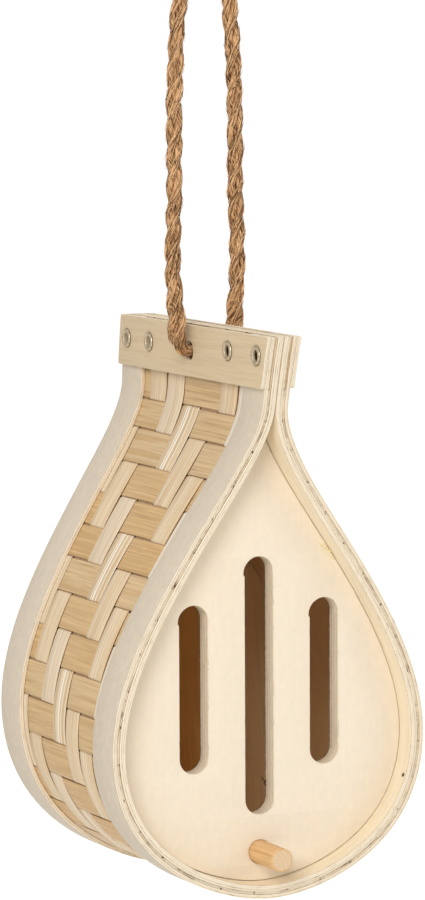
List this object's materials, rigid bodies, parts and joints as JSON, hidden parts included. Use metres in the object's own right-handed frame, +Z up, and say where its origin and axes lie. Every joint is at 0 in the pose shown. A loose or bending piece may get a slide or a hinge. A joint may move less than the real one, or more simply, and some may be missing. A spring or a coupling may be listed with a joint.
{
  "type": "insect hotel",
  "caption": "Hanging insect shelter: a teardrop of moulded plywood wrapped in woven splints, with slotted front, perch, riveted neck and a rope loop.",
  "frame": {"origin": "the top of the knot that the rope loop hangs by, straight above the middle of the neck's rope hole", "axes": "+Z up, -Y the way the slotted front faces, +X to the right of someone looking at the front"},
  "size_m": [0.1578, 0.1707, 0.5109],
  "materials": {
    "liner_ply": "raw moulded plywood, smooth sanded inside",
    "edge_band_ply": "raw thin plywood, pale and matt",
    "long_splint_bamboo": "raw bamboo splint, pale, faint satin",
    "cross_splint_bamboo": "raw bamboo splint, golden, faint satin",
    "panel_ply": "raw plywood, fine straight grain, matt",
    "dowel": "raw turned dowel, matt",
    "bar_wood": "raw thin wood, matt",
    "rivet_steel": "nickel plated, satin",
    "jute": "twisted jute fibre, hairy"
  },
  "bodies": {
    "hanger": {"rope": "jute", "knot": "jute"},
    "house": {"shell": "liner_ply", "front_rim": "edge_band_ply", "back_rim": "edge_band_ply", "long_splint_01": "long_splint_bamboo", "long_splint_02": "long_splint_bamboo", "long_splint_03": "long_splint_bamboo", "long_splint_04": "long_splint_bamboo", "long_splint_05": "long_splint_bamboo", "long_splint_06": "long_splint_bamboo", "long_splint_07": "long_splint_bamboo", "long_splint_08": "long_splint_bamboo", "long_splint_09": "long_splint_bamboo", "cross_splint_01": "cross_splint_bamboo", "cross_splint_02": "cross_splint_bamboo", "cross_splint_03": "cross_splint_bamboo", "cross_splint_04": "cross_splint_bamboo", "cross_splint_05": "cross_splint_bamboo", "cross_splint_06": "cross_splint_bamboo", "cross_splint_07": "cross_splint_bamboo", "cross_splint_08": "cross_splint_bamboo", "cross_splint_09": "cross_splint_bamboo", "cross_splint_10": "cross_splint_bamboo", "cross_splint_11": "cross_splint_bamboo", "cross_splint_12": "cross_splint_bamboo", "cross_splint_13": "cross_splint_bamboo", "cross_splint_14": "cross_splint_bamboo", "cross_splint_15": "cross_splint_bamboo", "cross_splint_16": "cross_splint_bamboo", "cross_splint_17": "cross_splint_bamboo", "cross_splint_18": "cross_splint_bamboo", "cross_splint_19": "cross_splint_bamboo", "cross_splint_20": "cross_splint_bamboo", "cross_splint_21": "cross_splint_bamboo", "cross_splint_22": "cross_splint_bamboo", "cross_splint_23": "cross_splint_bamboo", "cross_splint_24": "cross_splint_bamboo", "cross_splint_25": "cross_splint_bamboo", "cross_splint_26": "cross_splint_bamboo", "cross_splint_27": "cross_splint_bamboo", "cross_splint_28": "cross_splint_bamboo", "cross_splint_29": "cross_splint_bamboo", "cross_splint_30": "cross_splint_bamboo", "cross_splint_31": "cross_splint_bamboo", "cross_splint_32": "cross_splint_bamboo", "cross_splint_33": "cross_splint_bamboo", "cross_splint_34": "cross_splint_bamboo", "cross_splint_35": "cross_splint_bamboo", "cross_splint_36": "cross_splint_bamboo", "cross_splint_37": "cross_splint_bamboo", "front_panel": "panel_ply", "back_panel": "panel_ply", "perch": "dowel", "clamp_bar_left": "bar_wood", "clamp_bar_right": "bar_wood", "rivet_front_outer": "rivet_steel", "rivet_front_inner": "rivet_steel", "rivet_back_inner": "rivet_steel", "rivet_back_outer": "rivet_steel"}
  },
  "joints": [
    {"name": "house_tilt", "type": "hinge", "parent": "hanger", "child": "house", "pos_m": [0, 0, -0.262], "axis": [1, 0, 0], "range_deg": [-60, 60]}
  ]
}
